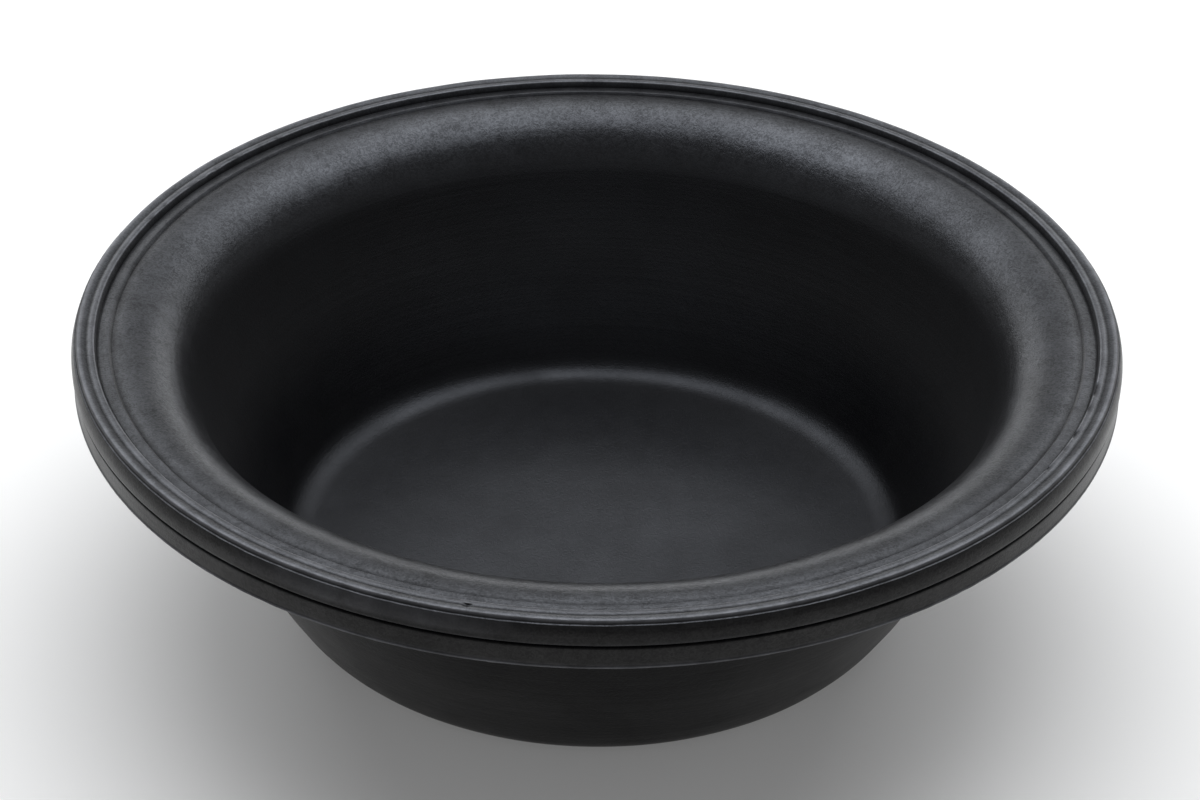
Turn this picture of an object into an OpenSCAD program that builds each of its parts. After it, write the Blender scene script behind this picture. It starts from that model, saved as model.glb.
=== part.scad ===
// Dished diaphragm, moulded in one piece from black rubber.
// A flat-bottomed dish hangs from a rolled shoulder inside a beaded clamping flange.
// The whole part is one section turned about the Z axis. Millimetres, +Z up,
// with the origin on the axis at the underside of the floor.

/* [Dish] */
// Overall height, from the underside of the floor to the top of the outer bead
overall_h = 60.25; // [50:0.05:80]
// Thickness of the wall
wall_t = 2.9; // [2:0.1:5]
// Thickness of the floor
floor_t = 5.6; // [3:0.1:7]
// Diameter at which the inside of the wall would meet the floor in a sharp corner
floor_d = 122.2; // [96:0.1:130]
// Radius of the fillet between the wall and the floor, inside
floor_fillet_r = 7.7; // [3:0.1:12]
// Radius of the fillet between the wall and the floor, outside
foot_fillet_r = 10.4; // [6:0.1:13]
// How far the wall bows outward from a straight line, shoulder to floor
wall_bow = 2; // [0.5:0.05:4]
// Radius where the wall runs into the underside of the flange, outside
neck_fillet_r = 1.5; // [0.5:0.1:4]

/* [Shoulder] */
// Radius of the rolled shoulder
roll_r = 14.5; // [10:0.1:17]
// Depth of the top of the roll below the top of the flange
roll_drop = 1.83; // [1.5:0.01:3]
// Width of the shoulder's level edge, outside the top of the roll
land_w = 0.9; // [0.5:0.05:5]

/* [Flange] */
// Outside diameter
rim_d = 200; // [190:0.5:230]
// Height of the flange
rim_h = 9.15; // [8:0.05:13]
// How much the lower band is set in from the upper band
band_step = 0.5; // [0.2:0.05:1]
// Depth of the side groove below the top of the flange
groove_drop = 4.85; // [4:0.05:6]
// Width of the side groove at its mouth
groove_w = 0.75; // [0.3:0.05:1]
// How deep the side groove is cut
groove_d = 1; // [0.7:0.05:2]
// Height of the fine trim line along the bottom edge
trim_h = 0.45; // [0.3:0.05:0.8]
// How far the trim line stands out
trim_t = 0.15; // [0.05:0.01:0.3]

/* [Flange top] */
// How far the top of the upper band leans in to the parting line
lean_w = 0.62; // [0.3:0.02:1]
// Radius of the swell from the upper band to that lean
swell_r = 4.5; // [2:0.1:8]
// Depth of the parting line below the top of the flange
parting_drop = 0.66; // [0.5:0.02:0.9]
// Width of the ledge at the parting line
parting_w = 0.36; // [0.2:0.02:0.6]
// Width of the outer bead, parting line to valley
bead_w = 1.97; // [1.6:0.01:3]
// Depth of the valley between the outer bead and the ridge
valley_d = 0.27; // [0.15:0.01:0.5]
// Width of the ridge
ridge_w = 1.45; // [1.2:0.05:2.5]
// Height of the ridge above the valley
ridge_h = 0.09; // [0.05:0.01:0.14]
// Height of the step from the ridge down to the ring
ridge_step = 1.28; // [0.8:0.02:1.6]
// Width of the ring between the two steps
ring_w = 2.1; // [1.5:0.05:4]
// How much the ring rises towards its inner edge
ring_rise = 0.1; // [0:0.01:0.2]
// Depth of the fine crease at the foot of each step
crease_d = 0.1; // [0.05:0.01:0.2]

/* [Hidden] */
rubber = "#26282b";

// The most that a drawn arc may stray from the true curve, and its widest step in degrees
arc_tol = 0.01;
arc_step = 30;
// Rounds in which the turn of the roll is found
turn_rounds = 6;
// Runs of the steep faces on the flange top, measured level
bead_lean = 0.15;
step_run = 0.55;
crease_run = 0.3;
// Edge radii of the flange
bead_edge_r = 0.7;
ridge_edge_r = 0.45;
band_edge_r = 0.3;
fine_edge_r = 0.12;

rim_r = rim_d / 2;
band_r = rim_r - band_step;
under_z = overall_h - rim_h;
groove_z = overall_h - groove_drop;

// The flange top, chained inward from the outside of the rim
parting_r = rim_r - lean_w;
bead_r = parting_r - parting_w;
valley_r = bead_r - bead_w;
ridge_r = valley_r - ridge_w;
ring_r = ridge_r - step_run;
ring_in_r = ring_r - ring_w;
shoulder_r = ring_in_r - step_run - crease_run;

valley_z = overall_h - valley_d;
ridge_z = valley_z + ridge_h;
ring_z = ridge_z - ridge_step;
roll_top_z = overall_h - roll_drop;

// Direction in degrees from one point of the section to another
function heading(from, to) = atan2(to[1] - from[1], to[0] - from[0]);

// The roll turns from level until it runs smoothly into the wall. Where it ends sets how steep the wall
// starts, and that sets where it ends, so the turn is found in rounds, each one about ten times closer.
roll_c = [shoulder_r - land_w, roll_top_z - roll_r];
floor_corner = [floor_d / 2, floor_t];
function roll_end(turn) = roll_c + roll_r * [-sin(turn), cos(turn)];
function wall_start(top) = heading(floor_corner, top) + 2 * atan(2 * wall_bow / norm(top - floor_corner));
function settled(turn, rounds) = rounds < 1 ? turn : settled(wall_start(roll_end(turn)), rounds - 1);
roll_turn = settled(90, turn_rounds);
wall_top = roll_end(roll_turn);

// The wall is an arc through its top and the sharp corner of the floor
wall_chord = wall_top - floor_corner;
wall_arc_r = (norm(wall_chord) * norm(wall_chord) / 4 + wall_bow * wall_bow) / (2 * wall_bow);
wall_out = [wall_chord[1], -wall_chord[0]] / norm(wall_chord);
wall_c = (wall_top + floor_corner) / 2 - wall_out * (wall_arc_r - wall_bow);

// Radius from the Z axis, at height z, of the centre of a circle that touches a side of the wall.
// Its reach is its distance from the centre of the wall's arc.
function beside_wall(reach, z) = wall_c[0] + sqrt(reach * reach - (z - wall_c[1]) * (z - wall_c[1]));

fillet_z = floor_t + floor_fillet_r;
fillet_c = [beside_wall(wall_arc_r - floor_fillet_r, fillet_z), fillet_z];
foot_c = [beside_wall(wall_arc_r + wall_t - foot_fillet_r, foot_fillet_r), foot_fillet_r];
neck_z = under_z - neck_fillet_r;
neck_c = [beside_wall(wall_arc_r + wall_t + neck_fillet_r, neck_z), neck_z];

// Points along an arc about c, from angle a to angle b
function arc(c, r, a, b) =
    let (steps = ceil(abs(b - a) / min(arc_step, 2 * acos(1 - arc_tol / r))))
    [for (i = [0:steps]) c + r * [cos(a + (b - a) * i / steps), sin(a + (b - a) * i / steps)]];

// The corner at p between its neighbours, rounded with radius r where its sides are long enough
function rounded(before, p, after, r) =
    let (u = (before - p) / norm(before - p))
    let (v = (after - p) / norm(after - p))
    let (half = acos(u * v) / 2)
    let (reach = min(r / tan(half), 0.45 * min(norm(before - p), norm(after - p))))
    let (c = p + (u + v) / norm(u + v) * reach / cos(half))
    let (a = heading(c, p + u * reach))
    let (turn = (180 - 2 * half) * sign(u[1] * v[0] - u[0] * v[1]))
    arc(c, reach * tan(half), a, a + turn);

// A run of corners, each written as radius, height and edge radius, between two plain end points
function rounded_run(corners) =
    let (flat = [for (k = corners) [k[0], k[1]]])
    [for (i = [1:len(corners) - 2]) each rounded(flat[i - 1], flat[i], flat[i + 1], corners[i][2])];

// Outside of the dish, from the axis to the underside of the flange
function dish_outside() =
    let (foot_a = heading(wall_c, foot_c))
    let (neck_a = heading(wall_c, neck_c))
    concat(
        [[0, 0]],
        arc(foot_c, foot_fillet_r, -90, foot_a),
        arc(wall_c, wall_arc_r + wall_t, foot_a, neck_a),
        arc(neck_c, neck_fillet_r, neck_a + 180, 90)
    );

// Side of the flange, from the bottom edge to the parting line
function flange_side() =
    let (trim_r = band_r + trim_t)
    rounded_run([
        [neck_c[0], under_z, 0],
        [trim_r, under_z, fine_edge_r],
        [trim_r, under_z + trim_h / 2, fine_edge_r],
        [band_r, under_z + trim_h, fine_edge_r],
        [band_r, groove_z - groove_w / 2, band_edge_r],
        [rim_r - groove_d, groove_z, fine_edge_r],
        [rim_r, groove_z + groove_w / 2, fine_edge_r],
        [rim_r, (groove_z + overall_h) / 2, swell_r],
        [parting_r, overall_h - parting_drop, fine_edge_r],
        [bead_r, overall_h - parting_drop, 0]
    ]);

// Top of the flange, from the parting line to the shoulder
function flange_top() =
    let (bead_side_r = bead_r - bead_lean)
    let (shoulder_z = roll_c[1] + sqrt(roll_r * roll_r - land_w * land_w))
    rounded_run([
        [parting_r, overall_h - parting_drop, 0],
        [bead_r, overall_h - parting_drop, fine_edge_r],
        [bead_side_r, overall_h, bead_edge_r],
        [(bead_side_r + valley_r) / 2, overall_h, bead_edge_r],
        [valley_r, valley_z, bead_edge_r],
        [valley_r - ridge_w / 3, ridge_z, ridge_edge_r],
        [ridge_r, ridge_z, ridge_edge_r],
        [ring_r, ring_z - crease_d, fine_edge_r],
        [ring_r - crease_run, ring_z, fine_edge_r],
        [ring_in_r, ring_z + ring_rise, fine_edge_r],
        [ring_in_r - step_run, shoulder_z - crease_d, fine_edge_r],
        [shoulder_r, shoulder_z, fine_edge_r],
        [roll_c[0], roll_top_z, 0]
    ]);

// Roll, wall and floor inside the dish, from the shoulder to the axis
function dish_inside() =
    let (wall_a = heading(wall_c, fillet_c))
    concat(
        arc(roll_c, roll_r, 90, 90 + roll_turn),
        arc(wall_c, wall_arc_r, heading(wall_c, wall_top), wall_a),
        arc(fillet_c, floor_fillet_r, wall_a, -90),
        [[0, floor_t]]
    );

module diaphragm() {
    color(rubber)
        rotate_extrude($fn = 240)
            polygon(concat(dish_outside(), flange_side(), flange_top(), dish_inside()));
}

diaphragm();
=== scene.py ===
import math

import bpy
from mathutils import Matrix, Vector


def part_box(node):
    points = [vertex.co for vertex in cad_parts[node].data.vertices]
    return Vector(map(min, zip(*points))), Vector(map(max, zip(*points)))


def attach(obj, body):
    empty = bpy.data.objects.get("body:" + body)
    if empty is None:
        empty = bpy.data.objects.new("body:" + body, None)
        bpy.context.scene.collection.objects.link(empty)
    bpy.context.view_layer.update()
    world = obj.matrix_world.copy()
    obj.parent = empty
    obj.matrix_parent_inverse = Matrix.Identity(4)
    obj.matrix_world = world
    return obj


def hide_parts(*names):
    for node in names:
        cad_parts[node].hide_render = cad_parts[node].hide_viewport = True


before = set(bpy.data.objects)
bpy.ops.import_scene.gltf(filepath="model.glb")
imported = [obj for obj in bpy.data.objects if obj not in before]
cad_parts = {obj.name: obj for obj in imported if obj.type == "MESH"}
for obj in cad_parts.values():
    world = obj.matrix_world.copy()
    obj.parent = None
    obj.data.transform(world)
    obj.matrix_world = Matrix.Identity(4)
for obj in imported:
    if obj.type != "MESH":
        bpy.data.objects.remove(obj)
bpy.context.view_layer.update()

# Diaphragm, the whole part: one compression moulding in black nitrile rubber with no insert.
# Half its section is drawn from the axis out under the floor, up the outside, over the flange
# and back down the inside, and that line is then spun round the axis.
MM = 0.001

# Height and radius of the part, from the frame. Sizes and places of the section are in millimetres.
_, far_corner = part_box("diaphragm")
top_z = round(far_corner.z / MM, 2)
rim_r = round(far_corner.x / MM, 2)

# Flange side. The photograph shows the lower band nearly flush with the upper one, so its step is
# smaller here than the 0.5 of part.scad.
flange_h = 9.15
band_step = 0.2
trim_h = 0.45
trim_t = 0.15
groove_drop = 4.85
groove_w = 0.75
groove_d = 1.0
under_z = top_z - flange_h
groove_z = top_z - groove_drop
band_r = rim_r - band_step
trim_r = band_r + trim_t

# Flange top, chained inward from the rim
lean_w = 0.62
parting_drop = 0.66
parting_w = 0.36
bead_lean = 0.15
bead_w = 1.97
valley_d = 0.27
ridge_rise_w = 0.48
ridge_h = 0.09
ridge_w = 1.45
ridge_step = 1.28
step_run = 0.55
crease_run = 0.3
crease_d = 0.1
ring_w = 2.1
ring_rise = 0.1
parting_r = rim_r - lean_w
parting_z = top_z - parting_drop
bead_r = parting_r - parting_w
bead_side_r = bead_r - bead_lean
valley_r = bead_r - bead_w
valley_z = top_z - valley_d
ridge_r = valley_r - ridge_w
ridge_z = valley_z + ridge_h
ring_r = ridge_r - step_run
ring_in_r = ring_r - ring_w
ring_z = ridge_z - ridge_step
shoulder_r = ring_in_r - step_run - crease_run


def heading(start, end):
    """Direction in degrees from one point of the section to another."""
    return math.degrees(math.atan2(end[1] - start[1], end[0] - start[0]))


def along(turn):
    """Unit step in a direction given in degrees."""
    return Vector((math.cos(math.radians(turn)), math.sin(math.radians(turn))))


# The roll turns from level until it runs smoothly into the wall, and that turn is found in rounds
roll_r = 14.5
roll_drop = 1.83
land_w = 0.9
roll_top_z = top_z - roll_drop
roll_c = Vector((shoulder_r - land_w, roll_top_z - roll_r))
shoulder_z = roll_c.y + math.sqrt(roll_r**2 - land_w**2)
floor_t = 5.6
floor_d = 122.2
floor_corner = Vector((floor_d / 2, floor_t))
wall_bow = 2.0
turn_rounds = 6
roll_turn = 90
for _ in range(turn_rounds):
    wall_top = roll_c + roll_r * along(90 + roll_turn)
    chord = wall_top - floor_corner
    roll_turn = heading(floor_corner, wall_top) + math.degrees(2 * math.atan(2 * wall_bow / chord.length))

# The wall is an arc through the end of the roll and the sharp corner of the floor
wall_t = 2.9
wall_top = roll_c + roll_r * along(90 + roll_turn)
chord = wall_top - floor_corner
wall_arc_r = (chord.length_squared / 4 + wall_bow**2) / (2 * wall_bow)
wall_out = Vector((chord.y, -chord.x)) / chord.length
wall_c = (wall_top + floor_corner) / 2 - wall_out * (wall_arc_r - wall_bow)


def beside_wall(reach, z):
    """Centre, at height z, of a circle that touches the wall; reach is its distance from wall_c."""
    return Vector((wall_c.x + math.sqrt(reach**2 - (z - wall_c.y) ** 2), z))


fillet_r = 7.7
foot_r = 10.4
neck_fillet_r = 1.5
fillet_c = beside_wall(wall_arc_r - fillet_r, floor_t + fillet_r)
foot_c = beside_wall(wall_arc_r + wall_t - foot_r, foot_r)
neck_c = beside_wall(wall_arc_r + wall_t + neck_fillet_r, under_z - neck_fillet_r)


def last_point():
    """Where the end of the drawn line is now, in millimetres."""
    drawn = bpy.context.object
    drawn.update_from_editmode()
    (end,) = [v.co for v in drawn.data.vertices if v.select]
    return Vector((end.x, end.z)) / MM


def line_to(r, z):
    """Extrudes the end of the drawn line to a new point."""
    step = (Vector((r, z)) - last_point()) * MM
    bpy.ops.mesh.extrude_vertices_move(TRANSFORM_OT_translate={"value": (step.x, 0, step.y)})


def arc_about(centre, turn, steps):
    """Spins the end of the drawn line about a centre, anticlockwise for a positive turn."""
    bpy.ops.mesh.spin(
        steps=steps,
        angle=math.radians(turn),
        center=(centre[0] * MM, 0, centre[1] * MM),
        axis=(0, 1, 0),
    )


def select_points(wanted):
    """Selects the drawn points for which wanted(point) holds."""
    bpy.ops.mesh.select_all(action="DESELECT")
    bpy.ops.object.mode_set(mode="OBJECT")
    for v in bpy.context.object.data.vertices:
        v.select = wanted(v.co)
    bpy.ops.object.mode_set(mode="EDIT")


def round_corners(corners):
    """Bevels the drawn corners, each to its own edge radius, or to less where a side is short."""
    side_share = 0.45
    turn_per_segment = 20
    same_place = 0.001
    for before, here, after in zip(corners, corners[1:], corners[2:]):
        if here[2] == 0:
            continue
        p = Vector(here[:2])
        back = Vector(before[:2]) - p
        on = Vector(after[:2]) - p
        half = back.angle(on) / 2
        reach = min(here[2] / math.tan(half), side_share * min(back.length, on.length))
        steps = max(2, round(math.degrees(math.pi - 2 * half) / turn_per_segment))
        select_points(lambda co, p=p: math.hypot(co.x / MM - p.x, co.z / MM - p.y) < same_place)
        bpy.ops.mesh.bevel(offset=reach * MM, offset_type="OFFSET", segments=steps, affect="VERTICES")


bpy.ops.object.select_all(action="DESELECT")
bpy.ops.mesh.primitive_plane_add(size=2 * MM, location=(0, 0, 0))
dish = bpy.context.object
dish.name = "diaphragm_moulding"
bpy.ops.object.mode_set(mode="EDIT")
bpy.ops.mesh.merge(type="CENTER")

# Underside of the floor, outer fillet, outside of the wall, neck. The floor has rings of points, so
# that its finish can change from its middle to its edge.
floor_rings = (12, 26, 40, 50, 54)
for r in floor_rings:
    line_to(r, 0)
line_to(foot_c.x, 0)
arc_about(foot_c, heading(wall_c, foot_c) + 90, steps=9)
arc_about(wall_c, heading(wall_c, neck_c) - heading(wall_c, foot_c), steps=9)
arc_about(neck_c, -(90 + heading(wall_c, neck_c)), steps=4)

# Side of the flange, then its top as far as the shoulder, each corner as radius, height and edge
# radius. The points with no edge radius lie on flats, and keep their shading flat.
swell_r = 4.5
bead_edge_r = 0.7
ridge_edge_r = 0.45
band_edge_r = 0.3
fine_edge_r = 0.12
flat_run = 0.5
ring_mid_rise = 0.072
flange = [
    (neck_c.x, under_z, 0),
    (trim_r, under_z, fine_edge_r),
    (trim_r, under_z + trim_h / 2, fine_edge_r),
    (band_r, under_z + trim_h, fine_edge_r),
    (band_r, under_z + trim_h + flat_run, 0),
    (band_r, groove_z - groove_w / 2 - 2 * band_edge_r, 0),
    (band_r, groove_z - groove_w / 2, band_edge_r),
    (rim_r - groove_d, groove_z, fine_edge_r),
    (rim_r, groove_z + groove_w / 2, fine_edge_r),
    (rim_r, groove_z + groove_w / 2 + flat_run, 0),
    (rim_r, (groove_z + top_z) / 2, swell_r),
    (parting_r, parting_z, fine_edge_r),
    (bead_r, parting_z, fine_edge_r),
    (bead_side_r, top_z, bead_edge_r),
    ((bead_side_r + valley_r) / 2, top_z, bead_edge_r),
    (valley_r, valley_z, bead_edge_r),
    (valley_r - ridge_rise_w, ridge_z, ridge_edge_r),
    (ridge_r, ridge_z, ridge_edge_r),
    (ring_r, ring_z - crease_d, fine_edge_r),
    (ring_r - crease_run, ring_z, fine_edge_r),
    (ring_in_r + flat_run, ring_z + ring_mid_rise, 0),
    (ring_in_r, ring_z + ring_rise, fine_edge_r),
    (ring_in_r - step_run, shoulder_z - crease_d, fine_edge_r),
    (shoulder_r, shoulder_z, fine_edge_r),
    (roll_c.x, roll_top_z, 0),
]
for r, z, _ in flange[1:]:
    line_to(r, z)

# Roll, inside of the wall, floor
arc_about(roll_c, roll_turn, steps=15)
arc_about(wall_c, heading(wall_c, fillet_c) - heading(wall_c, wall_top), steps=10)
arc_about(fillet_c, -(heading(wall_c, fillet_c) + 90), steps=9)
for r in reversed(floor_rings):
    line_to(r, floor_t)
line_to(0, floor_t)
round_corners(flange)

# A sixteenth is spun first and then repeated, which is far quicker than one long spin
sectors = 16
sector_steps = 40
merge_gap = 0.002
bpy.ops.mesh.select_all(action="SELECT")
bpy.ops.mesh.spin(steps=sector_steps, angle=math.tau / sectors, center=(0, 0, 0), axis=(0, 0, 1))
bpy.ops.mesh.select_all(action="SELECT")
bpy.ops.mesh.spin(steps=sectors, dupli=True, angle=math.tau, center=(0, 0, 0), axis=(0, 0, 1))
bpy.ops.mesh.select_all(action="SELECT")
bpy.ops.mesh.remove_doubles(threshold=merge_gap * MM)
bpy.ops.mesh.normals_make_consistent(inside=False)
bpy.ops.object.mode_set(mode="OBJECT")
bpy.ops.object.transform_apply(location=True, rotation=True, scale=True)


# A moulding is never quite true, so from here on its skin moves by a fraction of a millimetre.
def section_place(co):
    """Radius and height of a point of the moulding, in millimetres."""
    return math.hypot(co.x, co.y) / MM, co.z / MM


def ramp(value, low, high):
    """Share from 0 to 1 as a value goes from low to high."""
    return min(1.0, max(0.0, (value - low) / (high - low)))


# Where the skin moves, as a share from 0 to 1 for each radius and height
def dish_zone(r, z):
    """All of the dish, fading out at its foot and at the edge of the shoulder."""
    return ramp(z, 1, 4) * (1 - ramp(r, shoulder_r - 4.1, shoulder_r - 0.6))


def rings_zone(r, z):
    """The rings on the top of the flange."""
    return ramp(r, shoulder_r - 4.1, shoulder_r - 0.1) * ramp(z, top_z - 2.75, top_z - 2.25)


def flash_zone(r, z):
    """The flash line, along the parting line of the mould."""
    return ramp(r, parting_r - 0.38, parting_r - 0.18) * ramp(z, parting_z - 0.59, parting_z - 0.19)


def bottom_edge_zone(r, z):
    """The bottom edge of the flange."""
    return ramp(r, trim_r - 0.55, trim_r - 0.35) * (1 - ramp(z, under_z + 0.1, under_z + 0.4))


# Rest level of a movement: it goes half in and half out, or only sinks, by up to its depth
BOTH_WAYS = 0.5
SINKS = 1


def move_in_patches(name, zone, patch, depth, direction, level):
    """Moves the skin of a zone in cloudy patches of a size."""
    group = dish.vertex_groups.new(name=name)
    for v in dish.data.vertices:
        weight = zone(*section_place(v.co))
        if weight > 0:
            group.add([v.index], weight, "REPLACE")
    clouds = bpy.data.textures.new(name, "CLOUDS")
    clouds.noise_scale = patch * MM
    clouds.noise_depth = 1
    moved = dish.modifiers.new(name, "DISPLACE")
    moved.texture = clouds
    moved.texture_coords = "LOCAL"
    moved.direction = direction
    moved.vertex_group = name
    moved.strength = depth * MM
    moved.mid_level = level
    bpy.ops.object.modifier_apply(modifier=name)
    dish.vertex_groups.clear()


# The dish waves gently, in and out. What lies on the outside only sinks, which keeps the part's size:
# the rings, straight down, as their edges are too fine to move squarely, and the flash line and
# bottom edge, which are rough where they were trimmed.
move_in_patches("slow_wave", dish_zone, patch=30, depth=0.3, direction="NORMAL", level=BOTH_WAYS)
move_in_patches("ring_wander", rings_zone, patch=14, depth=0.16, direction="Z", level=SINKS)
move_in_patches("trimmed_flash", flash_zone, patch=1.6, depth=0.14, direction="Z", level=SINKS)
move_in_patches("trimmed_edge", bottom_edge_zone, patch=1.6, depth=0.16, direction="Z", level=SINKS)

torn = set()


def nick(place, bearing, length, width, depth):
    """Pushes a short stretch of an edge down and inwards, as where the skin is torn or pitted."""
    inward_share = 0.35
    down_share = 0.9
    middle = math.radians(bearing)

    def in_reach(co):
        r, z = section_place(co)
        off = (math.atan2(co.y, co.x) - middle + math.pi) % math.tau - math.pi
        return math.hypot(r - place[0], z - place[1]) < width / 2 and abs(off) * r < length / 2

    select_points(in_reach)
    torn.update(v.index for v in dish.data.vertices if v.select)
    inward = -inward_share * Vector((math.cos(middle), math.sin(middle), 0))
    bpy.ops.transform.translate(value=depth * MM * (inward - Vector((0, 0, down_share))))


# Torn places on the inner edge of the ridge, each as a bearing in degrees, a length and a depth
ridge_tears = (
    (159.9, 1.6, 0.3),
    (157.1, 1.2, 0.25),
    (150.7, 2.2, 0.3),
    (148.8, 1.2, 0.2),
    (146.0, 1.2, 0.25),
    (142.1, 2.2, 0.25),
    (135.4, 1.4, 0.25),
    (-16.5, 4.6, 0.3),
    (-20.4, 1.4, 0.18),
    (-25.7, 3.0, 0.3),
    (-29.2, 1.4, 0.2),
    (-33.5, 2.4, 0.25),
    (-97.4, 1.2, 0.15),
    (-103.8, 1.2, 0.15),
)
bpy.ops.object.mode_set(mode="EDIT")
for bearing, length, depth in ridge_tears:
    nick((ridge_r + 0.15, ridge_z), bearing, length, width=0.5, depth=depth)
nick((valley_r, valley_z), bearing=-102.3, length=1.2, width=0.9, depth=0.3)
nick((trim_r, under_z + 0.1), bearing=-171.0, length=5.0, width=0.6, depth=0.25)
bpy.ops.object.mode_set(mode="OBJECT")
sharpest_smooth = math.radians(35)
bpy.ops.object.shade_smooth_by_angle(angle=sharpest_smooth)

# Where the skin is painted pale, partly as wear and partly as painted highlight: the proud edges of the
# flange, each as a radius, a height, how far it fades out and how strong it is
proud_edges = (
    (trim_r, under_z + 0.1, 0.3, 0.8),
    (rim_r, groove_z + groove_w / 2 + 0.15, 0.25, 0.15),
    (parting_r, parting_z, 0.25, 0.1),
    (bead_side_r - 0.2, top_z, 0.6, 0.75),
    (valley_r - 0.7, ridge_z, 0.3, 0.7),
    (ridge_r, ridge_z, 0.25, 0.9),
    (ring_in_r, ring_z + ring_rise, 0.2, 0.25),
)
# Where shade is painted, as a weaker shine: the creases beside the rings and the side groove, given alike
creases = (
    (ring_r, ring_z, 0.35, 0.95),
    (shoulder_r + 0.35, shoulder_z + 0.2, 0.6, 1),
    (valley_r, valley_z, 0.3, 0.65),
    (bead_r, parting_z, 0.25, 0.6),
    (rim_r - groove_d, groove_z, 0.75, 0.75),
)


def nearness(r, z, edges):
    """How close a point of the section is to the nearest of some edges, from 0 to their strength."""
    return max(most * math.exp(-((r - a) ** 2 + (z - b) ** 2) / fade**2) for a, b, fade, most in edges)


# Marks that the rubber's shader reads, one share from 0 to 1 for each point of the skin. Some paint light
# and
# shade: the light on the wall, the pale proud edges in part, and the weaker shine of the outside, floor
# and creases.
marks = {"outer_face": [], "handled": [], "rubbed_and_edge_highlight": [], "shine": [], "painted_wall_light": []}
for v in dish.data.vertices:
    r, z = section_place(v.co)
    bearing = math.degrees(math.atan2(v.co.y, v.co.x))
    outward = v.normal.dot(Vector((v.co.x, v.co.y, 0)).normalized())
    outer_face = ramp(outward, 0.3, 0.8)
    inner_face = ramp(-outward, 0.3, 0.8)
    marks["outer_face"].append(outer_face)

    # The flange and the shoulder are handled most, and their top more than their side
    near_flange = ramp(z, under_z - 3.1, under_z + 2.9)
    marks["handled"].append(0.25 + 0.75 * near_flange * (1 - 0.5 * outer_face))

    # The proud edges are painted pale, partly as wear and partly as painted highlight, and a stretch of
    # the upper band is scuffed, at the front left
    front_left = ramp(bearing, -130, -116) * (1 - ramp(bearing, -106, -95))
    upper_band = ramp(z, groove_z + 0.8, groove_z + 1.8) * ramp(r, rim_r - 1, rim_r - 0.7)
    marks["rubbed_and_edge_highlight"].append(max(0.3 * front_left * upper_band, nearness(r, z, proud_edges)))

    # Painted shade, as a weaker shine: the outside shines less than the inside, and less still up the
    # side of the flange. The floor shines less too, most of all along its edge, and creases and torn
    # places shine least, the creases as painted shade.
    on_flange = ramp(z, under_z - 1.1, under_z + 0.9)
    above_groove = ramp(z, groove_z - 0.4, groove_z + 0.6)
    on_floor = 1 - ramp(z, floor_t + 5.4, floor_t + 12.4)
    towards_edge = ramp(r, 20, 50)
    outside_shade = 1 - outer_face * (0.54 + 0.04 * on_flange + 0.06 * above_groove)
    floor_shade = 1 - on_floor * (0.17 + 0.35 * towards_edge)
    crease_shade_and_tears = max(nearness(r, z, creases), 0.5 if v.index in torn else 0)
    marks["shine"].append(outside_shade * floor_shade * (1 - crease_shade_and_tears))

    # Painted light: the inside of the wall, which lies in shade, is painted a paler grey
    on_wall = ramp(z, floor_t + 12.4, floor_t + 26.4) * (1 - ramp(z, under_z - 5.1, under_z + 4.9))
    marks["painted_wall_light"].append(inner_face * on_wall)
for name, shares in marks.items():
    dish.data.attributes.new(name, "FLOAT", "POINT").data.foreach_set("value", shares)


def linear(hex_colour):
    """Turns an sRGB hex colour into the linear one that the shaders take."""
    parts = [int(hex_colour[i : i + 2], 16) / 255 for i in (1, 3, 5)]
    return tuple(c / 12.92 if c <= 0.04045 else ((c + 0.055) / 1.055) ** 2.4 for c in parts) + (1,)


def add_node(tree, kind, sockets=(), **settings):
    """Adds a node; each of its sockets takes a plain value or another node's output."""
    made = tree.nodes.new(kind)
    for name, value in settings.items():
        setattr(made, name, value)
    for name, value in dict(sockets).items():
        if isinstance(value, bpy.types.NodeSocket):
            tree.links.new(value, made.inputs[name])
        else:
            made.inputs[name].default_value = value
    return made


# Nitrile rubber, compression moulded in a blasted steel mould: a black satin skin with a fine
# worm-like grain, cloudy where the bloom has come out, and pale grey along the proud edges,
# partly wear and partly painted highlight.
moulded_rubber = bpy.data.materials.new("moulded_nitrile_rubber")
moulded_rubber.use_nodes = True
tree = moulded_rubber.node_tree
skin = tree.nodes["Principled BSDF"]
skin.inputs["IOR"].default_value = 1.45
place = add_node(tree, "ShaderNodeTexCoord").outputs["Object"]

# Bloom comes in patches 20 mm across, and scuffs are 5 mm across
bloom = add_node(
    tree,
    "ShaderNodeTexNoise",
    {"Vector": place, "Scale": 1 / (20 * MM), "Detail": 4, "Roughness": 0.55, "Distortion": 0.6},
).outputs["Fac"]
scuff = add_node(
    tree,
    "ShaderNodeTexNoise",
    {"Vector": place, "Scale": 1 / (5 * MM), "Detail": 3, "Roughness": 0.55, "Distortion": 0.3},
).outputs["Fac"]

# Turning marks of the mould are fine rings round the wall, 0.62 to the millimetre of height, so
# 1.6 mm apart. Round the wall they run on for 70 mm and more.
ring_places = add_node(
    tree,
    "ShaderNodeMapping",
    {"Vector": place, "Scale": (0.014 / MM, 0.014 / MM, 0.62 / MM)},
)
turning = add_node(
    tree,
    "ShaderNodeTexNoise",
    {"Vector": ring_places.outputs[0], "Scale": 1, "Detail": 3, "Roughness": 0.6},
).outputs["Fac"]

# The grain is a worm-like print of the blasted mould, 1.3 crests to the millimetre, so 0.8 mm
# apart. The real one is about 0.5 mm, too fine to show.
grain = add_node(
    tree,
    "ShaderNodeTexNoise",
    {"Vector": place, "Scale": 1.3 / MM, "Detail": 1.5, "Roughness": 0.6, "Distortion": 1.6},
).outputs["Fac"]
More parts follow.
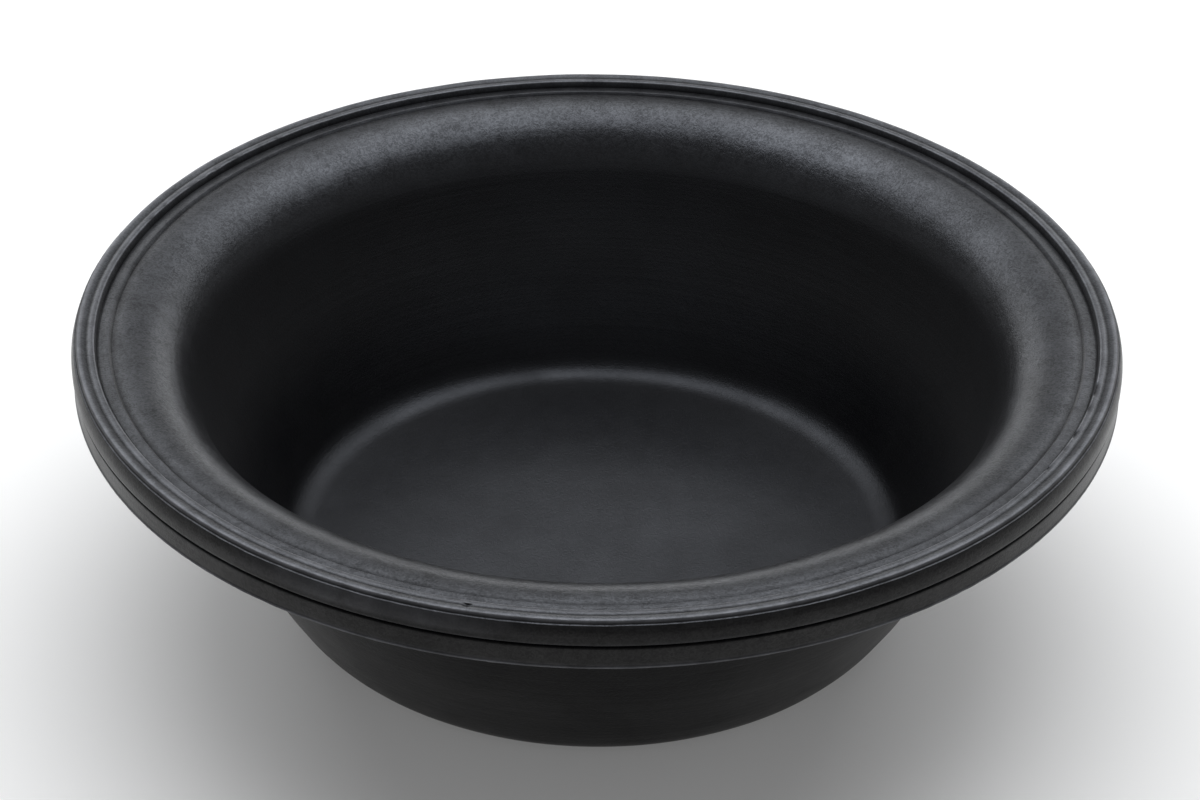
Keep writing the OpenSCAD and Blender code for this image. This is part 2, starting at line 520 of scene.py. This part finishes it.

# Colour: black and cloudy, with painted light on the shaded inside of the wall, and pale grey where it is
# rubbed, partly wear and partly painted highlight. The sockets of a colour mix share their names, so they
# go by number.
MIX_SHARE = 0
MIX_FROM = 6
MIX_TO = 7
MIXED = 2
clouded = add_node(
    tree,
    "ShaderNodeMix",
    {MIX_SHARE: bloom, MIX_FROM: linear("#08080a"), MIX_TO: linear("#121213")},
    data_type="RGBA",
).outputs[MIXED]
# Painted light: paler grey on the shaded inside of the wall
painted_wall_light = add_node(tree, "ShaderNodeAttribute", attribute_name="painted_wall_light").outputs["Fac"]
wall_light_share = add_node(tree, "ShaderNodeMath", {0: painted_wall_light, 1: 0.85}, operation="MULTIPLY").outputs[0]
wall_lit_colour = add_node(
    tree,
    "ShaderNodeMix",
    {MIX_SHARE: wall_light_share, MIX_FROM: clouded, MIX_TO: linear("#282829")},
    data_type="RGBA",
).outputs[MIXED]
patchy = add_node(
    tree,
    "ShaderNodeMapRange",
    {"Value": scuff, "From Min": 0.35, "From Max": 0.65, "To Min": 0.55, "To Max": 1},
).outputs[0]
# Pale grey on the proud edges: partly wear, partly painted highlight
rubbed_and_edge_highlight = add_node(tree, "ShaderNodeAttribute", attribute_name="rubbed_and_edge_highlight").outputs["Fac"]
rub_and_highlight = add_node(tree, "ShaderNodeMath", {0: rubbed_and_edge_highlight, 1: patchy}, operation="MULTIPLY").outputs[0]
colour = add_node(
    tree,
    "ShaderNodeMix",
    {MIX_SHARE: rub_and_highlight, MIX_FROM: wall_lit_colour, MIX_TO: linear("#6c6d72")},
    data_type="RGBA",
).outputs[MIXED]
tree.links.new(colour, skin.inputs["Base Color"])

# Roughness: a satin finish, a little duller in the bloom and mottled by the scuffs
satin = add_node(
    tree,
    "ShaderNodeMapRange",
    {"Value": bloom, "From Min": 0.3, "From Max": 0.7, "To Min": 0.31, "To Max": 0.36},
).outputs[0]
mottle = add_node(
    tree,
    "ShaderNodeMapRange",
    {"Value": scuff, "From Min": 0.3, "From Max": 0.7, "To Min": -0.02, "To Max": 0.02},
).outputs[0]
roughness = add_node(tree, "ShaderNodeMath", {0: satin, 1: mottle}, operation="ADD").outputs[0]
tree.links.new(roughness, skin.inputs["Roughness"])

# Shine: weaker in the bloom, uneven with the grain and the scuffs where the rubber is handled,
# and marked point by point above, where the marks paint shade on the outside, the floor and the creases
bloom_shine = add_node(
    tree,
    "ShaderNodeMapRange",
    {"Value": bloom, "From Min": 0.3, "From Max": 0.7, "To Min": 0.7, "To Max": 0.48},
).outputs[0]
crests = add_node(
    tree,
    "ShaderNodeMapRange",
    {"Value": grain, "From Min": 0.38, "From Max": 0.62, "To Min": -0.34, "To Max": 0.3},
).outputs[0]
patches = add_node(
    tree,
    "ShaderNodeMapRange",
    {"Value": scuff, "From Min": 0.3, "From Max": 0.7, "To Min": -0.18, "To Max": 0.18},
).outputs[0]
handled = add_node(tree, "ShaderNodeAttribute", attribute_name="handled").outputs["Fac"]
uneven = add_node(tree, "ShaderNodeMath", {0: crests, 1: patches}, operation="ADD").outputs[0]
uneven = add_node(
    tree,
    "ShaderNodeMath",
    {0: uneven, 1: handled, 2: 1},
    operation="MULTIPLY_ADD",
).outputs[0]
shine = add_node(tree, "ShaderNodeMath", {0: bloom_shine, 1: uneven}, operation="MULTIPLY").outputs[0]
# Painted shade: a weaker shine on the outside, along the floor's edge and in the creases
painted_shade_and_tears = add_node(tree, "ShaderNodeAttribute", attribute_name="shine").outputs["Fac"]
shine = add_node(tree, "ShaderNodeMath", {0: shine, 1: painted_shade_and_tears}, operation="MULTIPLY").outputs[0]
tree.links.new(shine, skin.inputs["Specular IOR Level"])

# Tint of the shine, painted light colour: cool inside the dish, standing in for cool light from overhead,
# and warmer on the outside
outer_face = add_node(tree, "ShaderNodeAttribute", attribute_name="outer_face").outputs["Fac"]
tint = add_node(
    tree,
    "ShaderNodeMix",
    {MIX_SHARE: outer_face, MIX_FROM: linear("#ecf2ff"), MIX_TO: linear("#fffefc")},
    data_type="RGBA",
).outputs[MIXED]
tree.links.new(tint, skin.inputs["Specular Tint"])

# Relief: the turning marks stand up to 0.05 mm proud, and the grain 0.045 mm
turned = add_node(
    tree,
    "ShaderNodeBump",
    {"Height": turning, "Strength": 1, "Distance": 0.05 * MM},
).outputs[0]
grained = add_node(
    tree,
    "ShaderNodeBump",
    {"Height": grain, "Strength": 1, "Distance": 0.045 * MM, "Normal": turned},
).outputs[0]
tree.links.new(grained, skin.inputs["Normal"])

dish.data.materials.append(moulded_rubber)
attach(dish, "root")
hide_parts("diaphragm")

# Studio: a plain pale floor that the part stands on, and wide soft lights that hang over the part
# and behind it. The room itself is dim. Sizes and places from here on are in metres.
bpy.ops.object.select_all(action="DESELECT")
floor_w = 8
bpy.ops.mesh.primitive_plane_add(size=floor_w, location=(0, 0, 0))
floor = bpy.context.object
floor.name = "studio_floor"

# Matt paper, which glows a little for the camera and in reflections, so that it reads as white
pale_floor = bpy.data.materials.new("pale_studio_floor")
pale_floor.use_nodes = True
tree = pale_floor.node_tree
tree.nodes.clear()
glow_level = 0.12
ray = add_node(tree, "ShaderNodeLightPath").outputs
seen = add_node(
    tree,
    "ShaderNodeMath",
    {0: ray["Is Camera Ray"], 1: ray["Is Glossy Ray"]},
    operation="ADD",
).outputs[0]
seen = add_node(
    tree,
    "ShaderNodeMath",
    {0: seen, 1: ray["Is Transmission Ray"]},
    operation="ADD",
).outputs[0]
strength = add_node(tree, "ShaderNodeMath", {0: seen, 1: glow_level}, operation="MULTIPLY").outputs[0]
paper = add_node(tree, "ShaderNodeBsdfDiffuse", {"Color": linear("#e7e7e7")}).outputs[0]
glow = add_node(
    tree,
    "ShaderNodeEmission",
    {"Color": linear("#ffffff"), "Strength": strength},
).outputs[0]
both = add_node(tree, "ShaderNodeAddShader", {0: paper, 1: glow}).outputs[0]
add_node(tree, "ShaderNodeOutputMaterial", {"Surface": both})
floor.data.materials.append(pale_floor)

room_level = 0.22
world = bpy.data.worlds.new("studio_room")
world.use_nodes = True
bpy.context.scene.world = world
world.node_tree.nodes["Background"].inputs["Color"].default_value = (room_level,) * 3 + (1,)

daylight = (0.98, 0.99, 1)


def soft_light(name, size, level, place, aim_z):
    """Hangs a flat soft light that faces a height on the axis; at a level of 1 it looks white."""
    width, depth = size
    light = bpy.data.lights.new(name, "AREA")
    light.shape = "RECTANGLE"
    light.color = daylight
    light.size = width
    light.size_y = depth
    light.energy = level * math.pi * width * depth
    lamp = bpy.data.objects.new(name, light)
    bpy.context.collection.objects.link(lamp)
    lamp.location = place
    lamp.rotation_euler = (Vector(place) - Vector((0, 0, aim_z))).to_track_quat("Z", "Y").to_euler()


soft_light("overhead_softbox", size=(1.15, 0.86), level=1.75, place=(0, 0.25, 1.01), aim_z=0.04)
soft_light("overhead_scrim", size=(2.54, 1.25), level=1.85, place=(0, 0.55, 1.1645), aim_z=0.04)
soft_light("back_strip", size=(1.37, 0.3), level=2.0, place=(0, 1.4, 0.2), aim_z=0.1)
for side, across in (("left", -0.6), ("right", 0.6)):
    soft_light(f"rear_{side}_box", size=(0.6, 0.4), level=1.7, place=(across, 1.2, 0.62), aim_z=0.06)

# Camera: an 85 mm lens on a full frame, at the photograph's angle, with its slight turn and tilt.
# Its place and its turn in degrees were fitted to the rings and the outline of the part.
lens = bpy.data.cameras.new("camera")
lens.lens = 85
lens.sensor_width = 36
camera_turn = (56.873, -0.6247, 0.3245)
camera = bpy.data.objects.new("camera", lens)
bpy.context.collection.objects.link(camera)
camera.location = (0, -0.46521, 0.34209)
camera.rotation_euler = [math.radians(a) for a in camera_turn]
bpy.context.scene.camera = camera
bpy.context.scene.view_settings.view_transform = "Standard"
